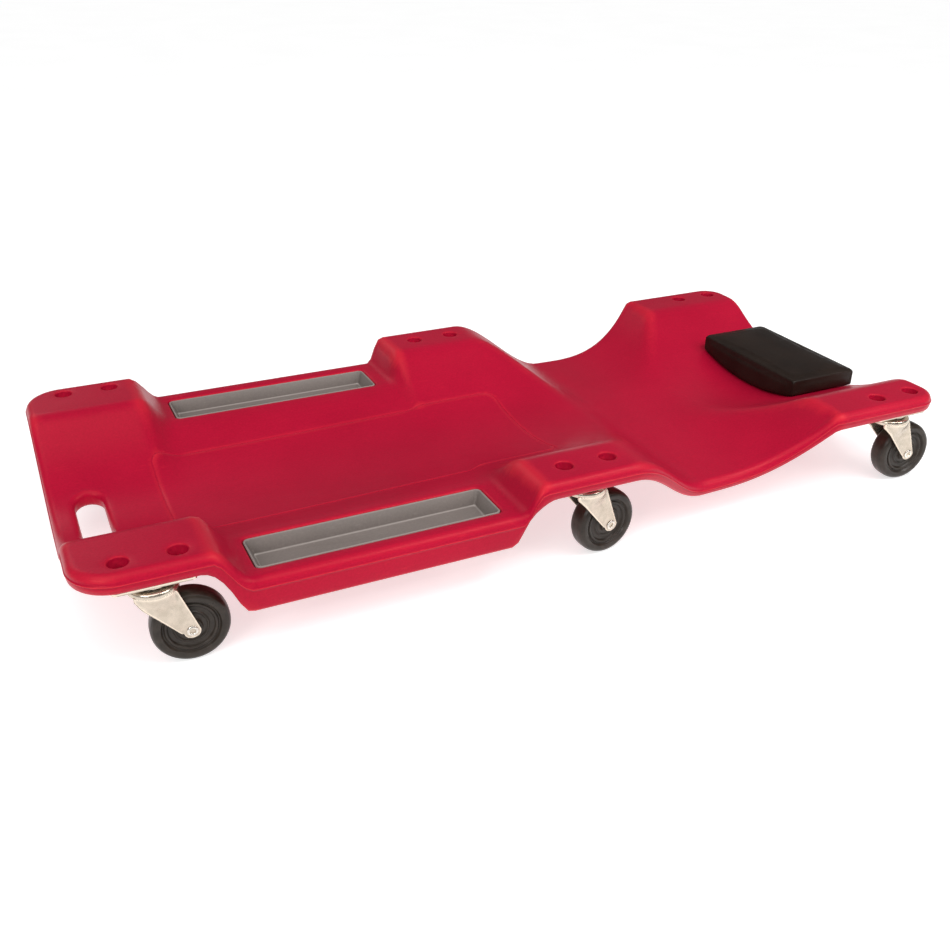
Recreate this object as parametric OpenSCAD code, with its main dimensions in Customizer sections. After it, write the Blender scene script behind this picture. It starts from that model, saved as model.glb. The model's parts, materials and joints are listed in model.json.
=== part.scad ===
// Mechanics creeper: a blow-moulded plastic deck with a dished lying surface,
// two drop-in tool trays, a padded headrest and six ball-race swivel casters.
// X runs from the foot end (-) to the head end (+), Y across, Z up from the floor.
// Left and right are those of a person lying on their back: left is -Y.

/* [Deck plan] */
// Overall length of the deck
deck_len = 1016; // [980:1:1220]
// Overall width of the deck, at the middle pads
deck_w = 480; // [400:1:580]
// How far the foot pads stay inside the overall width, each side
foot_inset = 10; // [0:1:30]
// How far the tray section stays inside the overall width, each side
tray_inset = 4; // [0:1:20]
// How far the waist stays inside the overall width, each side, where the elbows swing
waist_inset = 34; // [10:1:60]
// How far the head pads stay inside the overall width, each side
head_inset = 8; // [0:1:30]
// Plan radius of the two foot corners
foot_corner_r = 42; // [20:1:60]
// Plan radius of the two head corners
head_corner_r = 30; // [15:1:50]

/* [Deck levels] */
// Height of the pad tops above the tops of the wheels
pad_over_wheel = 42; // [40:1:60]
// Thickness of the deck at the pads
pad_t = 20; // [18:1:26]
// Drop from the pad tops to the shelf that holds the trays
tray_drop = 33; // [20:1:36]
// Drop from the pad tops to the underside of the tray section
tray_keel_drop = 68; // [62:1:76]
// Drop from the pad tops to the sides of the waist
waist_drop = 63; // [40:1:70]
// Thickness of the deck at the sides of the waist
waist_t = 17; // [15:1:22]
// Thickness of the deck under the dished lying surface
belly_t = 20; // [16:1:24]
// Wall of the hollow moulding
wall = 3; // [2:0.5:4]

/* [Deck lengths] */
// Length of the foot pads
foot_pad_len = 123; // [105:1:145]
// Length of the slope between the foot pads and the tray shelf
foot_slope_len = 35; // [24:1:40]
// Length of the slope between the tray shelf and the middle pads
mid_slope_len = 22; // [18:1:30]
// Middle pad length on the foot side of the middle casters
mid_pad_before = 64; // [50:1:80]
// Middle pad length on the head side of the middle casters
mid_pad_after = 45; // [42:1:60]
// Length over which the sides fall into the waist
waist_fall_len = 117; // [90:1:130]
// Length of the level bottom of the waist
waist_flat_len = 20; // [10:1:40]
// Length of the head pads
head_pad_len = 158; // [140:1:180]

/* [Dish] */
// Depth of the dish at the foot end
dish_d_foot = 64; // [50:1:70]
// Depth of the dish at the middle pads
dish_d_mid = 58; // [50:1:70]
// Depth of the dish at the head end
dish_d_head = 54; // [45:1:64]
// Width of each foot pad, from the edge of the deck to the dish
foot_pad_w = 83; // [80:1:100]
// Width of each middle pad, from the edge of the deck to the dish
mid_pad_w = 70; // [66:1:90]
// Width of each head pad, from the edge of the deck to the dish
head_pad_w = 64; // [60:1:80]

/* [Hand slot] */
// Width of the hand slot, along X
slot_w = 30; // [26:1:36]
// Length of the hand slot, along Y
slot_len = 100; // [85:1:120]
// Deck left between the foot end and the slot
slot_edge = 27; // [22:1:34]

/* [Tool trays] */
// Length of a tray opening
tray_len = 259; // [215:1:300]
// Width of a tray opening
tray_w = 57; // [46:1:62]
// Depth of a tray inside
tray_depth = 17; // [12:1:20]
// Wall of a tray
tray_wall = 2.5; // [2:0.1:3]
// How far each tray wall leans in from rim to floor
tray_lean = 7; // [3:1:9]
// Shelf left outside each tray opening
tray_outer_gap = 23; // [18:1:30]
// Shelf left between each tray opening and the dish
tray_inner_gap = 15.6; // [12:0.1:24]
// Shelf left on the foot side of each tray opening
tray_foot_gap = 7; // [5:1:20]
// Shelf left on the head side of each tray opening
tray_head_gap = 16; // [10:1:30]

/* [Headrest] */
// Length of the headrest along the creeper
rest_len = 103; // [85:1:118]
// Width of the headrest
rest_w = 190; // [160:1:220]
// Drop from the pad tops to the top of the headrest
rest_drop = 16; // [8:1:22]
// Distance from the head end to the headrest
rest_from_end = 9; // [6:1:20]
// Thickness of the vinyl cover
cover_t = 1.2; // [0.8:0.1:2]
// Thickness of the plywood base board
board_t = 8; // [6:0.5:10]
// Spacing of the two headrest bolts along X
rest_bolt_span = 56; // [44:1:60]

/* [Casters] */
// Distance of each caster swivel axis inside the overall width
caster_inset = 34; // [30:1:44]
// Distance from the foot end to the foot casters
foot_caster_in = 71; // [70:1:85]
// Distance from the head end to the head casters
head_caster_in = 55; // [50:1:70]
// Diameter of the wheels
wheel_d = 75; // [62:1:80]
// Width of a wheel tread
wheel_w = 23; // [20:1:25]
// Distance of the wheel axle behind the swivel axis
trail = 28; // [22:1:32]
// Length of the caster top plate
plate_len = 76; // [74:1:84]
// Width of the caster top plate
plate_w = 42; // [36:1:44]
// Thickness of the caster top plate
plate_t = 2.5; // [2:0.5:3]
// Spacing of the two bolts of one caster
bolt_span = 53; // [53:1:58]
// Angles that the left casters are parked at: foot, middle, head
parked_left = [-3, 7, -3];
// Angles that the right casters are parked at: foot, middle, head
parked_right = [2, -4, 3];

/* [Fasteners] */
// Thread diameter of the bolts
bolt_d = 6; // [5:1:6]
// Diameter of the wells that the bolt heads sit in
well_d = 19; // [17:0.5:22]
// Plastic left below each well
well_floor = 5; // [4:0.5:7]

/* [Hidden] */
$fn = 64;

// clearances
bolt_play = 0.6;    // on the diameter of a bolt in its hole
run_play = 0.1;     // on the diameter of a turning fit
tray_play = 0.5;    // round each tray in its pocket
rest_gap = 1;       // between the headrest and the dish
race_play = 0.15;   // between the balls and the plate race
part_gap = 0.3;     // between turning and fixed parts that do not bear

// levels and half widths that follow from the sizes above
pad_top = wheel_d + pad_over_wheel;
under_z = pad_top - pad_t;
foot_half_w = deck_w / 2 - foot_inset;
tray_half_w = deck_w / 2 - tray_inset;
mid_half_w = deck_w / 2;
waist_half_w = deck_w / 2 - waist_inset;
head_half_w = deck_w / 2 - head_inset;
caster_y = deck_w / 2 - caster_inset;
dish_w_foot = foot_half_w - foot_pad_w;
dish_w_mid = mid_half_w - mid_pad_w;
dish_w_head = head_half_w - head_pad_w;
tray_y = tray_half_w - tray_outer_gap - tray_w / 2;

// places along X
x_foot = -deck_len / 2;
x_head = deck_len / 2;
foot_pad_end = x_foot + foot_pad_len;
shelf_start = foot_pad_end + foot_slope_len;
shelf_end = shelf_start + tray_foot_gap + tray_len + tray_head_gap;
mid_pad_start = shelf_end + mid_slope_len;
caster_x = [x_foot + foot_caster_in, mid_pad_start + mid_pad_before, x_head - head_caster_in];
mid_pad_end = caster_x[1] + mid_pad_after;
waist_low_start = mid_pad_end + waist_fall_len;
waist_low_end = waist_low_start + waist_flat_len;
head_pad_start = x_head - head_pad_len;
waist_rise_power = 2.6;
dish_power = 2.2;
// the dish along the trays, carried up to the level of the pads
tray_dish_share = pow(1 - tray_drop / ((dish_d_foot + dish_d_mid) / 2), 1 / dish_power);
dish_w_tray = (tray_half_w - tray_outer_gap - tray_w - tray_inner_gap) / tray_dish_share;

// arches that the underside makes round the wheels, at both ends of the tray section
wheel_reach = norm([trail + wheel_d / 2, wheel_w / 2]);
arch_gap = 10;
arch_power = 2.2;
foot_arch_len = 38;
mid_arch_len = 44;
foot_arch_start = caster_x[0] + wheel_reach + arch_gap - foot_arch_len;
mid_arch_back = 8;
mid_arch_end = shelf_end - mid_arch_back + mid_arch_len;

// edges of the moulding
edge_r = 8;
foot_edge_r = 3;
end_soft_r = 6;
// the blend under a crest ends this far outside it, clear of the caster plates
crest_run = 13.5;
crest_soft = dish_d_head * (pow(1 + crest_run / dish_w_head, dish_power) - 1);
least_crest_y = 60;
crest_to_edge = 30;

function clamp01(t) = min(max(t, 0), 1);
function ease(a, b, x) = let (t = clamp01((x - a) / (b - a))) t * t * (3 - 2 * t);
function soft_min(a, b, k) = let (h = max(k - abs(a - b), 0) / k) min(a, b) - h * h * k / 4;
function arch(t) = pow(clamp01(t), arch_power);
function round_in(r, d) = d >= r ? 0 : r - sqrt(r * r - pow(r - max(d, 0), 2));

function waist(x) = ease(mid_pad_end, waist_low_start, x)
    * (1 - pow(clamp01((x - waist_low_end) / (head_pad_start - waist_low_end)), waist_rise_power));
function in_trays(x) = ease(foot_pad_end, shelf_start, x) * (1 - ease(shelf_end, mid_pad_start, x));
function side_z(x) = pad_top - tray_drop * in_trays(x) - waist_drop * waist(x);
function keel_z(x) = under_z
    - (tray_keel_drop - pad_t) * min(arch((x - foot_arch_start) / foot_arch_len),
                                     arch((mid_arch_end - x) / mid_arch_len))
    - (waist_drop + waist_t - pad_t) * waist(x);
function half_w(x) = foot_half_w + (tray_half_w - foot_half_w) * ease(foot_pad_end, shelf_start, x)
    + (mid_half_w - tray_half_w) * ease(shelf_end, mid_pad_start, x)
    + (head_half_w - mid_half_w) * ease(mid_pad_end, head_pad_start, x)
    - ((mid_half_w + head_half_w) / 2 - waist_half_w) * waist(x)
    - round_in(foot_corner_r, x - x_foot) - round_in(head_corner_r, x_head - x);
function dish_w(x) = dish_w_foot + (dish_w_tray - dish_w_foot) * ease(foot_pad_end, shelf_start, x)
    + (dish_w_mid - dish_w_tray) * ease(shelf_end, mid_pad_start, x)
    + (dish_w_head - dish_w_mid) * ease(mid_pad_end, head_pad_start, x);
function dish_d(x) = dish_d_foot + (dish_d_mid - dish_d_foot) * ease(shelf_start, mid_pad_end, x)
    + (dish_d_head - dish_d_mid) * ease(mid_pad_end, head_pad_start, x);
function dish_z(x, y) = pad_top - dish_d(x) * (1 - pow(abs(y) / dish_w(x), dish_power));
function end_soft(x) = round_in(end_soft_r, x - x_foot) + round_in(end_soft_r, x_head - x);
function top_z(x, y) = soft_min(side_z(x), dish_z(x, y), crest_soft) - end_soft(x);
function under(x, y) = soft_min(keel_z(x), dish_z(x, y) - belly_t, crest_soft) + end_soft(x) / 2;
function crest_y(x) = min(max(dish_w(x)
    * pow(clamp01(1 - (pad_top - side_z(x)) / dish_d(x)), 1 / dish_power), least_crest_y),
    half_w(x) - crest_to_edge);

// stations along X: close together where the shape turns
function steps(a, b, n) = [for (i = [0:n - 1]) a + (b - a) * i / n];
function corner_steps(r, n) = [for (i = [0:n]) r * (1 - cos(90 * i / n))];
stations = concat(
    [for (d = corner_steps(foot_corner_r, 6)) x_foot + d],
    steps(foot_arch_start, foot_pad_end, 2),
    steps(foot_pad_end, shelf_start, 8),
    steps(shelf_start, mid_arch_end - mid_arch_len, 6),
    steps(mid_arch_end - mid_arch_len, mid_arch_end, 12),
    steps(mid_arch_end, mid_pad_end, 4),
    steps(mid_pad_end, waist_low_end, 9),
    steps(waist_low_end, head_pad_start, 9),
    steps(head_pad_start, x_head - head_corner_r - 8, 2),
    [for (i = [5:-1:0]) x_head - head_corner_r * (1 - cos(90 * i / 5))]);
inner_stations = [for (x = stations) if (x > x_foot + edge_r && x < x_head - edge_r) x];

inner_columns = 6;
outer_columns = 3;
past_crest = crest_run + 0.5;
function outer_at(x, edge) = let (c = crest_y(x) + past_crest) [c, (c + edge) / 2, edge];
function columns(x, edge) = let (c = crest_y(x), out = outer_at(x, edge)) concat(
    [for (i = [2:-1:0]) -out[i]],
    [for (i = [-inner_columns:inner_columns]) c * i / inner_columns],
    out);
column_count = 2 * (inner_columns + outer_columns) + 1;
side_count = 4;
loop_count = 2 * (column_count + side_count);

// one closed loop of the moulding at station x, drawn in by `in` for the cavity
function side_points(x, s, in) = let (h = half_w(x) - in, r = edge_r - in / 2,
        t = top_z(x, h - r) - in, b = under(x, h - r) + in)
    [[x, s * (h - r * (1 - sin(30))), t - r * (1 - cos(30))],
     [x, s * (h - r * (1 - sin(60))), t - r * (1 - cos(60))],
     [x, s * h, t - r],
     [x, s * h, b + foot_edge_r]];
function loop_at(x, in) = let (ys = columns(x, half_w(x) - in - edge_r + in / 2),
        right = side_points(x, 1, in), left = side_points(x, -1, in))
    concat([for (y = ys) [x, y, top_z(x, y) - in]],
           right,
           [for (i = [column_count - 1:-1:0]) [x, ys[i], under(x, ys[i]) + in]],
           [for (i = [side_count - 1:-1:0]) left[i]]);

function cap_faces(o, flip) = let (k = column_count, s = side_count)
    [for (f = concat(
        [for (j = [0:k - 2]) [j, 2 * k + s - 1 - j, 2 * k + s - 2 - j]],
        [for (j = [0:k - 2]) [j, 2 * k + s - 2 - j, j + 1]],
        [for (j = [0:s - 1]) [k - 1, k + j + 1, k + j]],
        [for (j = [0:s - 1]) [0, 2 * k + s + j, 2 * k + s - 1 + j]]))
        flip ? [o + f[2], o + f[1], o + f[0]] : [o + f[0], o + f[1], o + f[2]]];
function skin_faces(n) = concat(
    [for (i = [0:n - 2]) for (j = [0:loop_count - 1]) let (a = i * loop_count + j,
        b = i * loop_count + (j + 1) % loop_count, c = a + loop_count, d = b + loop_count)
        each [[a, b, d], [a, d, c]]],
    cap_faces(0, false),
    cap_faces((n - 1) * loop_count, true));
module skin(xs, in) {
    polyhedron(points = [for (x = xs) each loop_at(x, in)], faces = skin_faces(len(xs)), convexity = 8);
}

// places of what fastens and rests on the deck
sides = [-1, 1];
well_bottom = under_z + well_floor;
bolt_x = [-bolt_span / 2, bolt_span / 2];
rest_x = x_head - rest_from_end - rest_len / 2;
rest_floor_z = pad_top - dish_d_head;
rest_bolt_x = [rest_x - rest_bolt_span / 2, rest_x + rest_bolt_span / 2];
tray_x = shelf_start + tray_foot_gap + tray_len / 2;
shelf_z = pad_top - tray_drop;
tray_corner_r = 6;
slot_x = x_foot + slot_edge + slot_w / 2;
bolt_hole_d = bolt_d + bolt_play;
blow_hole_d = 8;
rest_post_d = 20;

module at_bolts() {
    for (cx = caster_x) for (s = sides) for (dx = bolt_x) translate([cx + dx, s * caster_y, 0]) children();
}
module stadium(len, w, z0, z1) {
    translate([0, 0, z0]) linear_extrude(z1 - z0) union() {
        square([w, len - w], center = true);
        for (s = sides) translate([0, s * (len / 2 - w / 2)]) circle(d = w);
    }
}
module rounded_rect(l, w, r) {
    square([l - 2 * r, w], center = true);
    square([l, w - 2 * r], center = true);
    for (sx = sides) for (sy = sides)
        translate([sx * (l / 2 - r), sy * (w / 2 - r)]) circle(r = r, $fn = 32);
}
// a tray shape: rounded box of the opening's size at z1, leaning in towards its floor at z0
module tub(grow, z0, z1, lean) {
    thin = 0.01;
    module level(z, in) {
        out = 2 * (grow - in);
        translate([0, 0, z]) linear_extrude(thin) rounded_rect(tray_len + out, tray_w + out, tray_corner_r);
    }
    hull() {
        level(z0, lean);
        level(z1 - thin, 0);
    }
}

module deck() {
    pocket_floor = shelf_z - tray_depth - tray_wall;
    color("crimson") difference() {
        skin(stations, 0);
        // the hollow, which leaves posts round the wells, the slot, the pockets and the headrest bolts
        difference() {
            skin(concat([x_foot + edge_r - 1], inner_stations, [x_head - edge_r + 1]), wall);
            at_bolts() translate([0, 0, under_z - 1]) cylinder(d = well_d + 2 * wall, h = pad_t + 2);
            translate([slot_x, 0, 0]) stadium(slot_len + 2 * wall, slot_w + 2 * wall, 0, pad_top);
            for (s = sides) translate([tray_x, s * tray_y, 0])
                tub(wall + tray_play, pocket_floor - wall, shelf_z, tray_lean);
            for (x = rest_bolt_x) translate([x, 0, 0]) cylinder(d = rest_post_d, h = pad_top);
        }
        at_bolts() {
            translate([0, 0, well_bottom]) cylinder(d = well_d, h = pad_t);
            translate([0, 0, under_z - 1]) cylinder(d = bolt_hole_d, h = pad_t);
        }
        translate([slot_x, 0, 0]) stadium(slot_len, slot_w, 0, pad_top);
        for (s = sides) translate([tray_x, s * tray_y, 0]) {
            tub(tray_play, pocket_floor, shelf_z, tray_lean);
            translate([0, 0, shelf_z - 0.1]) linear_extrude(tray_drop)
                rounded_rect(tray_len + 2 * tray_play, tray_w + 2 * tray_play, tray_corner_r);
        }
        for (x = rest_bolt_x) translate([x, 0, 0]) cylinder(d = bolt_hole_d, h = pad_top);
        // the hole that the blowing air came in by, in the underside
        translate([tray_x, 0, 0]) cylinder(d = blow_hole_d, h = pad_top - dish_d_foot - belly_t / 2);
    }
}

module tool_tray(s) {
    floor_z = shelf_z - tray_depth;
    color("dimgray") translate([tray_x, s * tray_y, 0]) difference() {
        tub(0, floor_z - tray_wall, shelf_z - 1, tray_lean);
        tub(-tray_wall, floor_z, shelf_z, tray_lean);
    }
}

// the headrest: a board cut to the dish, a foam block and a vinyl cover
rest_top = pad_top - rest_drop;
rest_columns = 8;
cover_flap = 18;
board_inset = 3;
board_low = rest_gap + cover_t;
board_high = board_low + board_t;
tee_nut_barrel = 6;
tee_nut_wall = 1.5;
tee_nut_flange = 1.2;
tee_nut_d = 3 * bolt_d;
rest_bolt_head_h = 3;

function rest_dish(y) = pad_top - dish_d_head * (1 - pow(abs(y) / dish_w_head, dish_power));
rest_line = [for (i = [-rest_columns:rest_columns])
    let (y = rest_w / 2 * i / rest_columns) [y, rest_dish(y)]];
function rest_under(w, lift) = concat(
    [[-w / 2, lookup(-w / 2, rest_line) + lift]],
    [for (p = rest_line) if (abs(p[0]) < w / 2 - 0.5) [p[0], p[1] + lift]],
    [[w / 2, lookup(w / 2, rest_line) + lift]]);
function mirrored(ps) = [for (i = [len(ps) - 1:-1:0]) ps[i]];
function rest_block(w, low, top) = concat(rest_under(w, low), [[w / 2, top], [-w / 2, top]]);

// a bar along X of length l with the outline ps in Y and Z
module rest_bar(l, ps) {
    translate([rest_x - l / 2, 0, 0]) rotate([90, 0, 90]) linear_extrude(l) polygon(ps);
}
module at_rest_bolts(z) {
    for (x = rest_bolt_x) translate([x, 0, z]) children();
}

module headrest_board() {
    inset = 2 * (cover_t + board_inset);
    w = rest_w - inset;
    color("burlywood") difference() {
        rest_bar(rest_len - inset, concat(rest_under(w, board_low), mirrored(rest_under(w, board_high))));
        at_rest_bolts(0) cylinder(d = bolt_d + 2 * tee_nut_wall, h = pad_top);
        at_rest_bolts(rest_floor_z + board_high) cylinder(d = tee_nut_d + 1, h = pad_top);
    }
}
module headrest_foam() {
    color("khaki") difference() {
        rest_bar(rest_len - 2 * cover_t, rest_block(rest_w - 2 * cover_t, board_high, rest_top - cover_t));
        at_rest_bolts(rest_floor_z) cylinder(d = tee_nut_d + 1, h = board_high + tee_nut_flange + 1);
    }
}
module headrest_cover() {
    color("#1c1a19") difference() {
        rest_bar(rest_len, rest_block(rest_w, rest_gap, rest_top));
        rest_bar(rest_len - 2 * cover_t, rest_block(rest_w - 2 * cover_t, board_low, rest_top - cover_t));
        translate([rest_x, 0, rest_floor_z])
            cube([rest_len - 2 * cover_flap, rest_w - 2 * cover_flap, 2 * dish_d_head], center = true);
    }
}
module headrest_bolts() {
    color("silver") at_rest_bolts(rest_floor_z - belly_t) {
        cylinder(d = bolt_d, h = belly_t + board_high + tee_nut_flange);
        translate([0, 0, -rest_bolt_head_h]) cylinder(d = 2 * bolt_d, h = rest_bolt_head_h);
    }
}
module headrest_tee_nuts() {
    color("silver") at_rest_bolts(rest_floor_z + board_high) difference() {
        union() {
            cylinder(d = tee_nut_d, h = tee_nut_flange);
            translate([0, 0, -tee_nut_barrel]) cylinder(d = bolt_d + 2 * tee_nut_wall, h = tee_nut_barrel);
        }
        translate([0, 0, -2 * tee_nut_barrel]) cylinder(d = bolt_d, h = 4 * tee_nut_barrel);
    }
}

// what bolts a caster to the deck
hex_flats = bolt_d + 4;
hex_d = hex_flats / cos(30);
bolt_head_h = 4;
bolt_end = 1;
washer_t = 1.6;
washer_d = 2 * bolt_d + 4;
nut_t = 3;
plate_z = under_z - plate_t;

module caster_washers() {
    color("silver") at_bolts() translate([0, 0, well_bottom]) difference() {
        cylinder(d = washer_d, h = washer_t);
        translate([0, 0, -1]) cylinder(d = bolt_hole_d, h = washer_t + 2);
    }
}
module caster_bolts() {
    shank = bolt_end + nut_t + plate_t + well_floor + washer_t;
    color("silver") at_bolts() {
        translate([0, 0, plate_z - nut_t - bolt_end]) cylinder(d = bolt_d, h = shank);
        translate([0, 0, well_bottom + washer_t]) cylinder(d = hex_d, h = bolt_head_h, $fn = 6);
    }
}
module caster_nuts() {
    color("silver") at_bolts() translate([0, 0, plate_z - nut_t]) difference() {
        cylinder(d = hex_d, h = nut_t, $fn = 6);
        translate([0, 0, -1]) cylinder(d = bolt_d, h = nut_t + 2);
    }
}

// one swivel caster, about its own axis; x runs back towards the axle
plate_corner_r = 5;
ball_d = 4;
ball_ring_r = 14.5;
ball_count = 16;
ball_sink = 0.3 * ball_d;
ball_gap = 0.08;
race_r = 19;
race_t = 2;
pin_d = 8;
pin_head_h = 2.5;
pin_head_d = [11, 15];
thrust_d = 20;
thrust_t = 1.5;
crown_r = 24;
crown_t = 2.5;
crown_lip = 4;
crown_chamfer = [3, 2];
crown_inner_chamfer = 1.5;
leg_t = 2.2;
leg_drop = ball_sink + ball_gap + 0.5;
leg_end_r = 8;
leg_top_front = 20;
leg_top_back = 20;
leg_shoulder = 6;
leg_back_fall = 14;
hub_gap = 1;
hub_w = wheel_w + 2;
hub_r = [9, 10];
bushing_wall = 2;
bushing_d = pin_d + 2 * bushing_wall;
axle_head_t = 1.5;
axle_head_d = 11;
axle_hollow_d = 5;
axle_hollow_depth = 2.5;
fork_in = hub_w + 2 * hub_gap;
fork_out = fork_in + 2 * leg_t;
axle_z = wheel_d / 2;
ball_z = plate_z - race_t + ball_sink - ball_d / 2 - race_play;
crown_z = ball_z - ball_d / 2 + ball_sink;
thrust_z = crown_z - crown_t - part_gap - thrust_t;

module caster_plate() {
    low = plate_z - race_t;
    cut = plate_t + race_t + 2;
    color("gainsboro") difference() {
        union() {
            translate([0, 0, plate_z]) linear_extrude(plate_t)
                rounded_rect(plate_len, plate_w, plate_corner_r);
            translate([0, 0, low]) cylinder(r = race_r, h = race_t);
        }
        for (dx = bolt_x) translate([dx, 0, low - 1]) cylinder(d = bolt_hole_d, h = cut);
        translate([0, 0, low - 1]) cylinder(d = pin_d, h = cut);
        rotate_extrude() translate([ball_ring_r, ball_z]) circle(r = ball_d / 2 + race_play);
    }
}
module caster_kingpin() {
    color("silver") {
        translate([0, 0, thrust_z]) cylinder(d = pin_d, h = under_z - thrust_z);
        translate([0, 0, thrust_z - pin_head_h])
            cylinder(d1 = pin_head_d[0], d2 = pin_head_d[1], h = pin_head_h);
    }
}
module caster_balls() {
    color("lightgray") for (i = [0:ball_count - 1]) rotate([0, 0, 360 * i / ball_count])
        translate([ball_ring_r, 0, ball_z]) sphere(d = ball_d);
}
module caster_thrust_washer() {
    color("silver") translate([0, 0, thrust_z]) difference() {
        cylinder(d = thrust_d, h = thrust_t);
        translate([0, 0, -1]) cylinder(d = pin_d, h = thrust_t + 2);
    }
}
module crown() {
    skirt_z = crown_z - crown_lip - crown_t;
    inner_r = crown_r - crown_t;
    rotate_extrude() difference() {
        polygon([[0, crown_z],
                 [crown_r - crown_chamfer[0], crown_z],
                 [crown_r, crown_z - crown_chamfer[1]],
                 [crown_r, skirt_z],
                 [inner_r, skirt_z],
                 [inner_r - crown_inner_chamfer, crown_z - crown_t],
                 [0, crown_z - crown_t]]);
        translate([ball_ring_r, ball_z]) circle(r = ball_d / 2 + ball_gap);
    }
}
// a leg spans the crown at the top and narrows to the axle
module leg_outline() {
    polygon([[-leg_top_back + 3, crown_z - leg_drop],
             [leg_top_front - 2, crown_z - leg_drop],
             [leg_top_front, crown_z - leg_shoulder],
             [trail + leg_end_r, axle_z + 1],
             [trail - leg_end_r * sin(38), axle_z - leg_end_r * cos(38)],
             [-leg_top_back, crown_z - leg_back_fall],
             [-leg_top_back, crown_z - leg_shoulder + 1]]);
    translate([trail, axle_z]) circle(r = leg_end_r);
}
module caster_fork() {
    color("gainsboro") difference() {
        union() {
            crown();
            for (s = sides) translate([0, s * (fork_in + leg_t) / 2 + leg_t / 2, 0])
                rotate([90, 0, 0]) linear_extrude(leg_t) leg_outline();
        }
        translate([0, 0, crown_z - 5 * crown_t]) cylinder(d = pin_d + run_play, h = 10 * crown_t);
        translate([trail, fork_out, axle_z]) rotate([90, 0, 0]) cylinder(d = pin_d, h = 2 * fork_out);
    }
}
module along_axle() {
    translate([trail, 0, axle_z]) rotate([90, 0, 0]) children();
}
module caster_axle() {
    end = fork_out / 2 + axle_head_t;
    color("silver") along_axle() difference() {
        union() {
            cylinder(d = pin_d, h = fork_out + axle_head_t / 2, center = true);
            for (s = sides) translate([0, 0, s * (end - axle_head_t / 2)])
                cylinder(d = axle_head_d, h = axle_head_t, center = true);
        }
        for (s = sides) translate([0, 0, s * end])
            cylinder(d = axle_hollow_d, h = 2 * axle_hollow_depth, center = true);
    }
}
module caster_bushing() {
    color("silver") along_axle() difference() {
        cylinder(d = bushing_d, h = hub_w, center = true);
        cylinder(d = pin_d + run_play, h = hub_w + 2, center = true);
    }
}
// half of the wheel's profile, from the hub to the middle of the tread
module caster_wheel() {
    r = wheel_d / 2;
    half = wheel_w / 2;
    web_r = r * 0.62;
    rim_r = [r * 0.68, r * 0.72];
    tread_r = [r - 5, r - 1.5];
    crowned = 7;
    profile = [[hub_r[0], hub_w / 2], [hub_r[1], half - 3], [web_r, half - 4], [rim_r[0], half - 0.5],
               [rim_r[1], half], [tread_r[0], half], [tread_r[1], half - 2], [r, half - crowned]];
    color("#2a2725") along_axle() rotate_extrude() polygon(concat(
        [[bushing_d / 2, -hub_w / 2]],
        [for (p = profile) [p[0], -p[1]]],
        mirrored(profile),
        [[bushing_d / 2, hub_w / 2]]));
}
// what is bolted to the deck stays square to it; what swivels is parked at an angle
module fixed_caster(i, s) {
    translate([caster_x[i], s * caster_y, 0]) children();
}
module turned_caster(i, s) {
    fixed_caster(i, s) rotate([0, 0, s < 0 ? parked_left[i] : parked_right[i]]) children();
}

deck();
tool_tray(-1);  // tool_tray_left
tool_tray(1);  // tool_tray_right
headrest_board();
headrest_foam();
headrest_cover();
headrest_bolts();
headrest_tee_nuts();
caster_bolts();
caster_washers();
caster_nuts();
fixed_caster(0, -1) caster_plate();  // foot_left_plate
fixed_caster(0, -1) caster_kingpin();  // foot_left_kingpin
turned_caster(0, -1) caster_balls();  // foot_left_balls
fixed_caster(0, -1) caster_thrust_washer();  // foot_left_thrust_washer
turned_caster(0, -1) caster_fork();  // foot_left_fork
turned_caster(0, -1) caster_axle();  // foot_left_axle
turned_caster(0, -1) caster_bushing();  // foot_left_bushing
turned_caster(0, -1) caster_wheel();  // foot_left_wheel
fixed_caster(1, -1) caster_plate();  // mid_left_plate
fixed_caster(1, -1) caster_kingpin();  // mid_left_kingpin
turned_caster(1, -1) caster_balls();  // mid_left_balls
fixed_caster(1, -1) caster_thrust_washer();  // mid_left_thrust_washer
turned_caster(1, -1) caster_fork();  // mid_left_fork
turned_caster(1, -1) caster_axle();  // mid_left_axle
turned_caster(1, -1) caster_bushing();  // mid_left_bushing
turned_caster(1, -1) caster_wheel();  // mid_left_wheel
fixed_caster(2, -1) caster_plate();  // head_left_plate
fixed_caster(2, -1) caster_kingpin();  // head_left_kingpin
turned_caster(2, -1) caster_balls();  // head_left_balls
fixed_caster(2, -1) caster_thrust_washer();  // head_left_thrust_washer
turned_caster(2, -1) caster_fork();  // head_left_fork
turned_caster(2, -1) caster_axle();  // head_left_axle
turned_caster(2, -1) caster_bushing();  // head_left_bushing
turned_caster(2, -1) caster_wheel();  // head_left_wheel
fixed_caster(0, 1) caster_plate();  // foot_right_plate
fixed_caster(0, 1) caster_kingpin();  // foot_right_kingpin
turned_caster(0, 1) caster_balls();  // foot_right_balls
fixed_caster(0, 1) caster_thrust_washer();  // foot_right_thrust_washer
turned_caster(0, 1) caster_fork();  // foot_right_fork
turned_caster(0, 1) caster_axle();  // foot_right_axle
turned_caster(0, 1) caster_bushing();  // foot_right_bushing
turned_caster(0, 1) caster_wheel();  // foot_right_wheel
fixed_caster(1, 1) caster_plate();  // mid_right_plate
fixed_caster(1, 1) caster_kingpin();  // mid_right_kingpin
turned_caster(1, 1) caster_balls();  // mid_right_balls
fixed_caster(1, 1) caster_thrust_washer();  // mid_right_thrust_washer
turned_caster(1, 1) caster_fork();  // mid_right_fork
turned_caster(1, 1) caster_axle();  // mid_right_axle
turned_caster(1, 1) caster_bushing();  // mid_right_bushing
turned_caster(1, 1) caster_wheel();  // mid_right_wheel
fixed_caster(2, 1) caster_plate();  // head_right_plate
fixed_caster(2, 1) caster_kingpin();  // head_right_kingpin
turned_caster(2, 1) caster_balls();  // head_right_balls
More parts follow.
